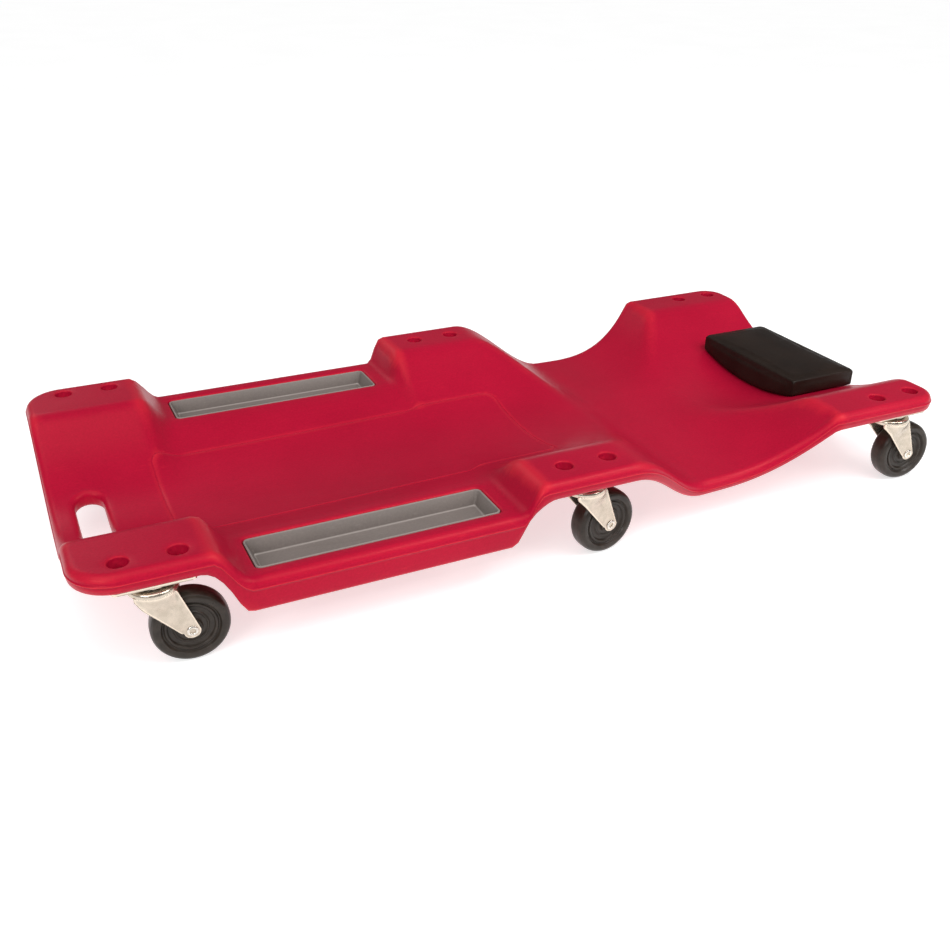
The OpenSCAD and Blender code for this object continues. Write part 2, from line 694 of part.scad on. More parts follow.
fixed_caster(2, 1) caster_thrust_washer();  // head_right_thrust_washer
turned_caster(2, 1) caster_fork();  // head_right_fork
turned_caster(2, 1) caster_axle();  // head_right_axle
turned_caster(2, 1) caster_bushing();  // head_right_bushing
turned_caster(2, 1) caster_wheel();  // head_right_wheel
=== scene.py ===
import json
import math

import bmesh
import bpy
import numpy as np
from mathutils import Matrix, Vector, geometry


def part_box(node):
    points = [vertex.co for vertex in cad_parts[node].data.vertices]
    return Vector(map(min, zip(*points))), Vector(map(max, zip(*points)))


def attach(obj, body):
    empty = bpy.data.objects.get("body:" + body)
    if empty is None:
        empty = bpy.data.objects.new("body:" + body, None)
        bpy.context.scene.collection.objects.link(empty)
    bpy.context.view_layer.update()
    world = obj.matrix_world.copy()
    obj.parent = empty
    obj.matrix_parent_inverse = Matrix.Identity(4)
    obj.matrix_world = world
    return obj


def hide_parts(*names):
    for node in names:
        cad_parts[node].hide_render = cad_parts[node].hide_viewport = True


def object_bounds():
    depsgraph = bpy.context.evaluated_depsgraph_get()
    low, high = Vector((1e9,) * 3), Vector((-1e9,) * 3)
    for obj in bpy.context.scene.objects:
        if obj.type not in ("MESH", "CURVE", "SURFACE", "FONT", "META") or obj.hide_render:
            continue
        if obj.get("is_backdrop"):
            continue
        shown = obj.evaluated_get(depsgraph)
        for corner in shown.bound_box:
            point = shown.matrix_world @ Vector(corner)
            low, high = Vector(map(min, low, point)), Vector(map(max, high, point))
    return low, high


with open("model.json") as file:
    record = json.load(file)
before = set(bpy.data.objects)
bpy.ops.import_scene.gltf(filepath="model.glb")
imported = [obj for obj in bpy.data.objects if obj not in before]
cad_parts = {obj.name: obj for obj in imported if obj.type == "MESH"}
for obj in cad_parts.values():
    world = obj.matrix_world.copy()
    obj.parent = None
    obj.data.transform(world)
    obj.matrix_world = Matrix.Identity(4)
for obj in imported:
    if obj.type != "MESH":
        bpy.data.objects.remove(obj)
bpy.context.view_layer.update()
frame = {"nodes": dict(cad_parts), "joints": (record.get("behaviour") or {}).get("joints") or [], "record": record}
MM = 0.001

# ---------------------------------------------------------------- places, from the frame

PAD_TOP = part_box("deck")[1].z
X_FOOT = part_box("deck")[0].x
X_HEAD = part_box("deck")[1].x
MID_HALF_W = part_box("deck")[1].y
CASTERS = [f"{place}_{side}" for side in ("left", "right") for place in ("foot", "mid", "head")]
JOINTS = {joint["name"]: joint for joint in frame["joints"]}


def swivel_at(caster):
    return Vector(JOINTS[f"{caster}_swivel_turn"]["pos_m"])


def axle_at(caster):
    return Vector(JOINTS[f"{caster}_wheel_spin"]["pos_m"])


# ---------------------------------------------------------------- the deck's shape, in metres

FOOT_HALF_W, TRAY_HALF_W, WAIST_HALF_W, HEAD_HALF_W = 230 * MM, 236 * MM, 206 * MM, 232 * MM
FOOT_CORNER_R, HEAD_CORNER_R = 42 * MM, 30 * MM
PAD_T = 20 * MM
TRAY_DROP, TRAY_KEEL_DROP = 33 * MM, 68 * MM
WAIST_DROP, WAIST_T = 63 * MM, 17 * MM
BELLY_T = 20 * MM
DISH_D_FOOT, DISH_D_MID, DISH_D_HEAD = 64 * MM, 58 * MM, 54 * MM
DISH_W_FOOT, DISH_W_TRAY, DISH_W_MID, DISH_W_HEAD = 147 * MM, 200 * MM, 170 * MM, 168 * MM
DISH_POWER, WAIST_RISE_POWER, ARCH_POWER = 2.2, 2.6, 2.2
CREST_SOFT = 10 * MM
EDGE_R, LOW_EDGE_R = 9 * MM, 4.5 * MM

MID_X = swivel_at("mid_left").x
FOOT_PAD_END = X_FOOT + 123 * MM
SHELF_START = FOOT_PAD_END + 35 * MM
MID_PAD_START = MID_X - 64 * MM
SHELF_END = MID_PAD_START - 22 * MM
MID_PAD_END = MID_X + 45 * MM
WAIST_LOW_START = MID_PAD_END + 117 * MM
WAIST_LOW_END = WAIST_LOW_START + 20 * MM
HEAD_PAD_START = X_HEAD - 158 * MM
FOOT_ARCH_LEN, MID_ARCH_LEN = 38 * MM, 44 * MM
FOOT_ARCH_START = SHELF_START - 10.5 * MM - FOOT_ARCH_LEN
MID_ARCH_END = SHELF_END - 8 * MM + MID_ARCH_LEN


def clamp01(t):
    return np.clip(t, 0.0, 1.0)


def ease(a, b, x):
    t = clamp01((x - a) / (b - a))
    return t * t * (3 - 2 * t)


def soft_min(a, b, k):
    h = np.maximum(k - np.abs(a - b), 0) / k
    return np.minimum(a, b) - h * h * k / 4


def arch(t):
    """The wheel arch's drop, from 0 to 1, with the corner at its deep end rounded."""
    return soft_min(np.maximum(t, 0) ** ARCH_POWER, np.ones_like(t), 0.3)


def round_in(r, d):
    """How far a corner of radius r draws the outline in at a distance d from the end."""
    return np.where(d < r, r - np.sqrt(np.maximum(r * r - (r - np.clip(d, 0, r)) ** 2, 0)), 0.0)


def waist(x):
    rise = clamp01((x - WAIST_LOW_END) / (HEAD_PAD_START - WAIST_LOW_END))
    return ease(MID_PAD_END, WAIST_LOW_START, x) * (1 - rise ** WAIST_RISE_POWER)


def in_trays(x):
    return ease(FOOT_PAD_END, SHELF_START, x) * (1 - ease(SHELF_END, MID_PAD_START, x))


def side_z(x):
    return PAD_TOP - TRAY_DROP * in_trays(x) - WAIST_DROP * waist(x)


def keel_z(x):
    deep = np.minimum(arch((x - FOOT_ARCH_START) / FOOT_ARCH_LEN),
                      arch((MID_ARCH_END - x) / MID_ARCH_LEN))
    return (PAD_TOP - PAD_T - (TRAY_KEEL_DROP - PAD_T) * deep
            - (WAIST_DROP + WAIST_T - PAD_T) * waist(x))


def half_w(x):
    width = (FOOT_HALF_W + (TRAY_HALF_W - FOOT_HALF_W) * ease(FOOT_PAD_END, SHELF_START, x)
             + (MID_HALF_W - TRAY_HALF_W) * ease(SHELF_END, MID_PAD_START, x)
             + (HEAD_HALF_W - MID_HALF_W) * ease(MID_PAD_END, HEAD_PAD_START, x)
             - ((MID_HALF_W + HEAD_HALF_W) / 2 - WAIST_HALF_W) * waist(x))
    return width - round_in(FOOT_CORNER_R, x - X_FOOT) - round_in(HEAD_CORNER_R, X_HEAD - x)


def dish_w(x):
    return (DISH_W_FOOT + (DISH_W_TRAY - DISH_W_FOOT) * ease(FOOT_PAD_END, SHELF_START, x)
            + (DISH_W_MID - DISH_W_TRAY) * ease(SHELF_END, MID_PAD_START, x)
            + (DISH_W_HEAD - DISH_W_MID) * ease(MID_PAD_END, HEAD_PAD_START, x))


def dish_d(x):
    return (DISH_D_FOOT + (DISH_D_MID - DISH_D_FOOT) * ease(SHELF_START, MID_PAD_END, x)
            + (DISH_D_HEAD - DISH_D_MID) * ease(MID_PAD_END, HEAD_PAD_START, x))


def dish_z(x, y):
    return PAD_TOP - dish_d(x) * (1 - (np.abs(y) / dish_w(x)) ** DISH_POWER)


def top_z(x, y):
    return soft_min(side_z(x), dish_z(x, y), CREST_SOFT)


def under_z(x, y):
    return soft_min(keel_z(x), dish_z(x, y) - BELLY_T, CREST_SOFT)


def crest_y(x):
    """Half width of the dish where it meets the pads or the shelf."""
    reach = dish_w(x) * clamp01(1 - (PAD_TOP - side_z(x)) / dish_d(x)) ** (1 / DISH_POWER)
    return np.minimum(np.maximum(reach, 60 * MM), half_w(x) - 30 * MM)


# ---------------------------------------------------------------- mesh helpers


def rounded_rect(cx, cy, length, width, r, per_corner=8, per_long=0, per_short=0):
    """A closed loop, anticlockwise, of a rectangle with round corners; straight sides get
    extra points."""
    loop = []
    corners = [(1, 1, 0), (-1, 1, 90), (-1, -1, 180), (1, -1, 270)]
    for k, (sx, sy, start) in enumerate(corners):
        ox, oy = cx + sx * (length / 2 - r), cy + sy * (width / 2 - r)
        for i in range(per_corner + 1):
            a = math.radians(start + 90 * i / per_corner)
            loop.append((ox + r * math.cos(a), oy + r * math.sin(a)))
        nx, ny, nstart = corners[(k + 1) % 4]
        a = math.radians(nstart)
        after = (cx + nx * (length / 2 - r) + r * math.cos(a),
                 cy + ny * (width / 2 - r) + r * math.sin(a))
        extra = per_long if k % 2 == 0 else per_short
        x0, y0 = loop[-1]
        loop += [(x0 + (after[0] - x0) * i / (extra + 1), y0 + (after[1] - y0) * i / (extra + 1))
                 for i in range(1, extra + 1)]
    return loop


def circle(cx, cy, r, count):
    return [(cx + r * math.cos(2 * math.pi * i / count), cy + r * math.sin(2 * math.pi * i / count))
            for i in range(count)]


def in_rect(x, y, cx, cy, length, width, r):
    """True inside a rounded rectangle."""
    dx = np.maximum(np.abs(x - cx) - (length / 2 - r), 0)
    dy = np.maximum(np.abs(y - cy) - (width / 2 - r), 0)
    return np.hypot(dx, dy) < r


def quarter(count):
    return [math.radians(90 * i / count) for i in range(count + 1)]


def sheet(name, parts, slot, body, replaced=(), smooth=True):
    """One mesh object from (points, faces) parts, with faces turned outwards, riding on a body."""
    points, faces = [], []
    for part_points, part_faces in parts:
        shift = len(points)
        points += [tuple(map(float, p)) for p in part_points]
        faces += [tuple(i + shift for i in f) for f in part_faces]
    mesh = bpy.data.meshes.new(name)
    mesh.from_pydata(points, [], faces)
    mesh.validate()
    work = bmesh.new()
    work.from_mesh(mesh)
    bmesh.ops.recalc_face_normals(work, faces=work.faces)
    work.to_mesh(mesh)
    work.free()
    mesh.polygons.foreach_set("use_smooth", [smooth] * len(mesh.polygons))
    obj = bpy.data.objects.new(name, mesh)
    bpy.context.scene.collection.objects.link(obj)
    mesh.materials.append(LOOKS[slot])
    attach(obj, body)
    if replaced:
        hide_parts(*replaced)
    return obj


def bridge(a, b):
    """Quads between two closed rings of the same count."""
    n = len(a)
    return [(a[i], a[(i + 1) % n], b[(i + 1) % n], b[i]) for i in range(n)]


def lathe(profile, turns, about_y=False):
    """A closed solid of revolution. The profile is (radius, height), from the axis round to
    the axis, or closed."""
    points, faces, rings = [], [], []
    for r, h in profile:
        first = len(points)
        if r < 1e-7:
            points.append((0, h, 0) if about_y else (0, 0, h))
            rings.append([first])
            continue
        for i in range(turns):
            a = 2 * math.pi * i / turns
            c, s = r * math.cos(a), r * math.sin(a)
            points.append((c, h, s) if about_y else (c, s, h))
        rings.append(list(range(first, first + turns)))
    closed = len(rings[0]) > 1
    pairs = list(zip(rings, rings[1:])) + ([(rings[-1], rings[0])] if closed else [])
    for a, b in pairs:
        if len(a) == 1:
            faces += [(a[0], b[i], b[(i + 1) % turns]) for i in range(turns)]
        elif len(b) == 1:
            faces += [(b[0], a[i], a[(i + 1) % turns]) for i in range(turns)]
        else:
            faces += bridge(a, b)
    return points, faces


def rounded(profile, radius, steps=4):
    """A profile with each inner corner rounded; the first and last points stay."""
    out = [profile[0]]
    for before, at, after in zip(profile, profile[1:], profile[2:]):
        p, q, s = Vector(before), Vector(at), Vector(after)
        r = min(radius, (p - q).length * 0.45, (s - q).length * 0.45)
        a, b = q + (p - q).normalized() * r, q + (s - q).normalized() * r
        for i in range(steps + 1):
            t = i / steps
            out.append(tuple(a * (1 - t) ** 2 + q * (2 * t * (1 - t)) + b * t ** 2))
    out.append(profile[-1])
    return out


def moved(part, matrix):
    points, faces = part
    return [tuple(matrix @ Vector(p)) for p in points], faces


# ---------------------------------------------------------------- materials


class Nodes:
    """A short hand for building a node material."""

    def __init__(self, name):
        self.material = bpy.data.materials.new(name)
        self.material.use_nodes = True
        self.tree = self.material.node_tree
        self.shader = self.tree.nodes["Principled BSDF"]
        self.place = self.add("ShaderNodeTexCoord").outputs["Object"]

    def add(self, kind, **settings):
        node = self.tree.nodes.new(kind)
        for key, value in settings.items():
            setattr(node, key, value)
        return node

    def wire(self, source, socket):
        self.tree.links.new(source, socket)

    def stretched(self, scale):
        node = self.add("ShaderNodeMapping")
        node.inputs["Scale"].default_value = scale
        self.wire(self.place, node.inputs["Vector"])
        return node.outputs["Vector"]

    def noise(self, scale, detail=3.0, rough=0.55, vector=None):
        node = self.add("ShaderNodeTexNoise")
        node.inputs["Scale"].default_value = scale
        node.inputs["Detail"].default_value = detail
        node.inputs["Roughness"].default_value = rough
        self.wire(vector or self.place, node.inputs["Vector"])
        return node.outputs["Fac"]

    def cells(self, scale, feature="F1"):
        node = self.add("ShaderNodeTexVoronoi", feature=feature)
        node.inputs["Scale"].default_value = scale
        self.wire(self.place, node.inputs["Vector"])
        return node.outputs["Distance"]

    def ramp(self, value, stops):
        """Maps a value through stops of (position, colour or grey)."""
        node = self.add("ShaderNodeValToRGB")
        band = node.color_ramp
        while len(band.elements) < len(stops):
            band.elements.new(0.5)
        for element, (at, colour) in zip(band.elements, stops):
            element.position = at
            grey = not isinstance(colour, tuple)
            element.color = (colour, colour, colour, 1) if grey else (*colour, 1)
        self.wire(value, node.inputs["Fac"])
        return node.outputs["Color"]

    def math(self, operation, a, b):
        node = self.add("ShaderNodeMath", operation=operation)
        for socket, value in zip(node.inputs, (a, b)):
            if isinstance(value, (int, float)):
                socket.default_value = value
            else:
                self.wire(value, socket)
        return node.outputs["Value"]

    def mix(self, factor, a, b, blend="MIX"):
        node = self.add("ShaderNodeMix", data_type="RGBA", blend_type=blend)
        for socket, value in ((node.inputs["Factor"], factor), (node.inputs["A"], a),
                              (node.inputs["B"], b)):
            if isinstance(value, tuple):
                socket.default_value = (*value, 1)
            elif isinstance(value, (int, float)):
                socket.default_value = value
            else:
                self.wire(value, socket)
        return node.outputs["Result"]

    def bump(self, height, strength, distance, under=None):
        node = self.add("ShaderNodeBump")
        node.inputs["Strength"].default_value = strength
        node.inputs["Distance"].default_value = distance
        self.wire(height, node.inputs["Height"])
        if under:
            self.wire(under, node.inputs["Normal"])
        return node.outputs["Normal"]

    def finish(self, colour, rough, normal, **fixed):
        self.wire(colour, self.shader.inputs["Base Color"])
        self.wire(rough, self.shader.inputs["Roughness"])
        self.wire(normal, self.shader.inputs["Normal"])
        for key, value in fixed.items():
            self.shader.inputs[key.replace("_", " ")].default_value = value
        return self.material

    def edges(self):
        """Convex edges, 1 on a sharp edge: the mask where highlights are painted on."""
        return self.ramp(self.add("ShaderNodeNewGeometry").outputs["Pointiness"],
                         [(0.508, 0.0), (0.54, 1.0)])

    def creases(self):
        """Concave corners, 1 in a sharp corner: the mask for a painted highlight line in the plastic's corners and
        painted shade in the zinc's creases.
        """
        return self.ramp(self.add("ShaderNodeNewGeometry").outputs["Pointiness"],
                         [(0.455, 1.0), (0.492, 0.0)])


def plastic(name, deep, base, wear_and_highlight, edge_highlight, corner_highlight, grain, rough, gloss, tint):
    """Moulded plastic: fine matte grain, slow colour variation, faint scuffs, a painted
    highlight along convex edges and a painted highlight line in concave corners."""
    n = Nodes(name)
    slow = n.ramp(n.noise(7, 2), [(0.3, deep), (0.7, base)])
    mottle = n.ramp(n.noise(420, 2, 0.6), [(0.3, 0.85), (0.7, 1.0)])
    slow = n.mix(1.0, slow, mottle, "MULTIPLY")
    scuffs = n.ramp(n.noise(60, 6, 0.7, n.stretched((1, 7, 3))), [(0.58, 0.0), (0.8, 0.22)])
    colour = n.mix(scuffs, slow, wear_and_highlight)
    # painted highlight: convex edges turned towards the paler colour
    colour = n.mix(n.math("MULTIPLY", n.edges(), edge_highlight), colour, wear_and_highlight)
    # painted highlight: a paler line in concave corners, where a fillet would catch the light
    colour = n.mix(n.math("MULTIPLY", n.creases(), corner_highlight), colour, wear_and_highlight)
    shine = n.math("ADD", n.math("MULTIPLY", n.noise(35, 4), 0.16), rough - 0.08)
    shine = n.math("ADD", shine, n.math("MULTIPLY", scuffs, 0.5))
    fine = n.bump(n.noise(grain, 2, 0.6), 0.2, 0.00025,
                  n.bump(n.noise(grain / 3, 2, 0.6), 0.2, 0.0005))
    waves = n.bump(n.noise(14, 2), 0.12, 0.004, fine)
    return n.finish(colour, shine, waves, Specular_IOR_Level=gloss, Specular_Tint=tint)


def zinc(name, bright, dull, rough):
    """Zinc plated steel: cloudy spangle, drawing lines, small dull marks, a painted highlight on convex edges and
    painted shade in creases.
    """
    n = Nodes(name)
    cloud = n.ramp(n.noise(140, 4, 0.6), [(0.35, dull), (0.65, bright)])
    marks = n.ramp(n.noise(420, 5, 0.7), [(0.62, 0.0), (0.8, 0.5)])
    colour = n.mix(marks, cloud, tuple(c * 0.45 for c in dull))
    # painted highlight: convex edges and ridges lighter
    colour = n.mix(n.math("MULTIPLY", n.edges(), 0.6), colour,
                   tuple(min(c * 1.5, 1.0) for c in bright))
    # painted shade: creases darker
    colour = n.mix(n.math("MULTIPLY", n.creases(), 0.7), colour, tuple(c * 0.25 for c in dull))
    shine = n.math("ADD", n.math("MULTIPLY", n.noise(160, 4), 0.22), rough - 0.1)
    lines = n.noise(300, 2, 0.5, n.stretched((1, 1, 9)))
    normal = n.bump(lines, 0.1, 0.0003, n.bump(n.noise(45, 1), 0.1, 0.0008))
    return n.finish(colour, shine, normal, Metallic=0.92, Specular_IOR_Level=0.5)


def rubber(name):
    n = Nodes(name)
    base = n.ramp(n.noise(120, 4), [(0.3, (0.020, 0.0145, 0.0105)), (0.7, (0.040, 0.0300, 0.0230))])
    dust = n.ramp(n.noise(40, 6, 0.7), [(0.55, 0.0), (0.85, 0.3)])
    colour = n.mix(n.math("MULTIPLY", dust, 0.5), base, (0.085, 0.070, 0.058))
    shine = n.math("ADD", n.math("MULTIPLY", n.noise(80, 4), 0.25), 0.2)
    normal = n.bump(n.noise(900, 3), 0.2, 0.0002, n.bump(n.noise(70, 2), 0.2, 0.001))
    return n.finish(colour, shine, normal, Specular_IOR_Level=0.28)


def vinyl(name):
    """Upholstery vinyl: pebbled grain, soft creases, a worn sheen."""
    n = Nodes(name)
    base = n.ramp(n.noise(25, 3), [(0.3, (0.011, 0.0065, 0.0045)), (0.7, (0.021, 0.0125, 0.0090))])
    pebble = n.cells(1300)
    colour = n.mix(n.ramp(pebble, [(0.0, 0.35), (0.5, 0.0)]), base, (0.04, 0.032, 0.03))
    shine = n.math("ADD", n.math("MULTIPLY", n.noise(50, 4), 0.2), 0.3)
    crease = n.bump(n.noise(30, 2, 0.5, n.stretched((1, 0.45, 1))), 0.12, 0.002)
    normal = n.bump(pebble, 0.35, 0.0003, crease)
    return n.finish(colour, shine, normal, Specular_IOR_Level=0.16)


def plain_grain(name, low, high, scale, rough, stretch=(1, 1, 1)):
    """Wood or foam inside the headrest."""
    n = Nodes(name)
    grain = n.noise(scale, 5, 0.6, n.stretched(stretch))
    colour = n.ramp(grain, [(0.3, low), (0.7, high)])
    shine = n.math("ADD", n.math("MULTIPLY", grain, 0.2), rough - 0.1)
    return n.finish(colour, shine, n.bump(grain, 0.4, 0.0006))


LOOKS = {
    # the third colour serves the scuffs and the painted highlight; the two numbers after it set the painted
    # highlight on convex edges and in concave corners
    "deck_plastic": plastic("deck_plastic", (0.415, 0.0038, 0.0295), (0.470, 0.0056, 0.0345),
                            (0.85, 0.038, 0.050), 0.35, 0.0, 1500, 0.35, 0.3, (1, 0.3, 0.22, 1)),
    # tray: concave corners get a strong painted highlight line
    "tray_plastic": plastic("tray_plastic", (0.158, 0.131, 0.118), (0.190, 0.160, 0.146),
                            (0.50, 0.45, 0.42), 0.3, 0.8, 1700, 0.42, 0.25, (1, 0.96, 0.92, 1)),
    "zinc_plate": zinc("zinc_plate", (0.60, 0.52, 0.43), (0.50, 0.43, 0.35), 0.2),
    "zinc_fastener": zinc("zinc_fastener", (0.86, 0.80, 0.72), (0.55, 0.50, 0.44), 0.2),
    "bearing_steel": zinc("bearing_steel", (0.62, 0.62, 0.62), (0.42, 0.42, 0.42), 0.25),
    "wheel_rubber": rubber("wheel_rubber"),
    "vinyl": vinyl("vinyl"),
    "plywood": plain_grain("plywood", (0.42, 0.28, 0.15), (0.62, 0.46, 0.28), 90, 0.7,
                           (0.15, 1, 1)),
    "foam": plain_grain("foam", (0.55, 0.47, 0.24), (0.75, 0.67, 0.40), 500, 0.9),
}
for row in frame["record"]["subparts"]:
    node = frame["nodes"][row["node"]]
    node.data.materials.clear()
    node.data.materials.append(LOOKS[row["material_slot"]])

# ---------------------------------------------------------------- the deck

TRAY_LEN, TRAY_W, TRAY_CORNER_R = 259 * MM, 57 * MM, 6 * MM
TRAY_X = SHELF_START + 7 * MM + TRAY_LEN / 2
TRAY_Y = TRAY_HALF_W - 23 * MM - TRAY_W / 2
TRAY_LEAN, TRAY_WALL = 7 * MM, 2.5 * MM
SHELF_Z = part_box("tool_tray_left")[1].z
TRAY_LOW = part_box("tool_tray_left")[0].z
SLOT_W, SLOT_LEN = 30 * MM, 100 * MM
SLOT_X = X_FOOT + 27 * MM + SLOT_W / 2
WELL_R = 9.5 * MM
WELL_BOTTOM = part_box("caster_washers")[0].z
BOLT_HALF_SPAN = 26.5 * MM
WELLS = [(swivel_at(c).x + d, swivel_at(c).y) for c in CASTERS
         for d in (-BOLT_HALF_SPAN, BOLT_HALF_SPAN)]
PANEL = (-168 * MM, 0.0, 442 * MM, 184 * MM, 16 * MM)


CORNER_STEPS, SIDE_STEPS = 12, 150
SIDE_COUNT = 2 * CORNER_STEPS + SIDE_STEPS + 1


def outline():
    """The deck's plan, anticlockwise from the left foot corner."""
    arc = [math.radians(90 * i / CORNER_STEPS) for i in range(CORNER_STEPS + 1)]
    xs = [X_FOOT + FOOT_CORNER_R * (1 - math.cos(a)) for a in arc]
    start, end = X_FOOT + FOOT_CORNER_R, X_HEAD - HEAD_CORNER_R
    count = SIDE_STEPS
    xs += [start + (end - start) * i / count for i in range(1, count)]
    xs += [X_HEAD - HEAD_CORNER_R * (1 - math.cos(a)) for a in reversed(arc)]
    xs = np.array(xs)
    side = half_w(xs)
    across = 46
    head = [side[-1] * (2 * i / across - 1) for i in range(1, across)]
    foot = [side[0] * (1 - 2 * i / across) for i in range(1, across)]
    loop = [(x, -y) for x, y in zip(xs, side)] + [(X_HEAD, y) for y in head]
    loop += [(x, y) for x, y in zip(xs[::-1], side[::-1])] + [(X_FOOT, y) for y in foot]
    return np.array(loop)


def inward(loop, d):
    """The loop drawn in by d along its own normals."""
    along = np.roll(loop, -1, 0) - np.roll(loop, 1, 0)
    along /= np.linalg.norm(along, axis=1)[:, None]
    return loop - d * np.stack([along[:, 1], -along[:, 0]], 1)


def filled(rings, free, keep, lift, points):
    """Triangles over a flat region between rings of point numbers; adds lifted free points."""
    ids = [i for ring in rings for i in ring]
    flat = [Vector(points[i][:2]) for i in ids] + [Vector(p) for p in free]
    edges, start = [], 0
    for ring in rings:
        edges += [(start + i, start + (i + 1) % len(ring)) for i in range(len(ring))]
        start += len(ring)
    verts, _, tris, origin, _, _ = geometry.delaunay_2d_cdt(flat, edges, [], 0, 1e-7, True)
    spots = np.array([tuple(v) for v in verts])
    heights = lift(spots[:, 0], spots[:, 1])
    number = []
    for spot, height, source in zip(spots, heights, origin):
        known = [s for s in source if s < len(ids)]
        if known:
            number.append(ids[known[0]])
        else:
            number.append(len(points))
            points.append((spot[0], spot[1], height))
    tris = np.array(tris)
    corner = spots[tris]
    middle = corner.mean(1)
    one, two = corner[:, 1] - corner[:, 0], corner[:, 2] - corner[:, 0]
    area = np.abs(one[:, 0] * two[:, 1] - one[:, 1] * two[:, 0])
    allowed = keep(middle[:, 0], middle[:, 1]) & (area > 1e-9)
    return [tuple(number[i] for i in tri) for tri, ok in zip(tris, allowed) if ok]


def lattice(step, edge, near):
    """Points that follow the dish's crest, closer together across it."""
    spots = []
    for x in np.arange(X_FOOT + edge + 2 * MM, X_HEAD - edge, step):
        c = float(crest_y(np.array(x)))
        w = float(half_w(np.array(x))) - edge
        ys = list(np.linspace(0, c - near, 14)) + list(np.linspace(c - near, c + near, 11))[1:]
        ys += list(np.linspace(c + near, w, 9))[1:]
        spots += [(x, s * y) for y in ys if y < w - 1 * MM for s in ((-1, 1) if y else (1,))]
    return np.array(spots)


def clear_of(spots, ring, gap):
    ring = np.array(ring)[:, :2]
    far = np.array([np.min(np.hypot(*(ring - p).T)) for p in spots])
    return spots[far > gap]


def ring_of(points, flat, z):
    first = len(points)
    z = np.broadcast_to(z, len(flat))
    points += [(float(p[0]), float(p[1]), float(h)) for p, h in zip(flat, z)]
    return list(range(first, len(points)))


def stadium(grow, count=14):
    """The slot's loop, grown outwards."""
    r = SLOT_W / 2 + grow
    half = SLOT_LEN / 2 - SLOT_W / 2
    arc = [math.pi * i / count for i in range(count + 1)]
    top = [(SLOT_X + r * math.cos(a), half + r * math.sin(a)) for a in arc]
    left = [(SLOT_X - r, half - 2 * half * i / 10) for i in range(1, 10)]
    low = [(SLOT_X - r * math.cos(a), -half - r * math.sin(a)) for a in arc]
    right = [(SLOT_X + r, -half + 2 * half * i / 10) for i in range(1, 10)]
    return np.array(top + left + low + right)


def tray_loop(side, grow):
    r = max(TRAY_CORNER_R + min(grow, 0) * 0.4 + max(grow, 0), 2 * MM)
    return np.array(rounded_rect(TRAY_X, side * TRAY_Y, TRAY_LEN + 2 * grow, TRAY_W + 2 * grow, r,
                                 8, 40, 8))


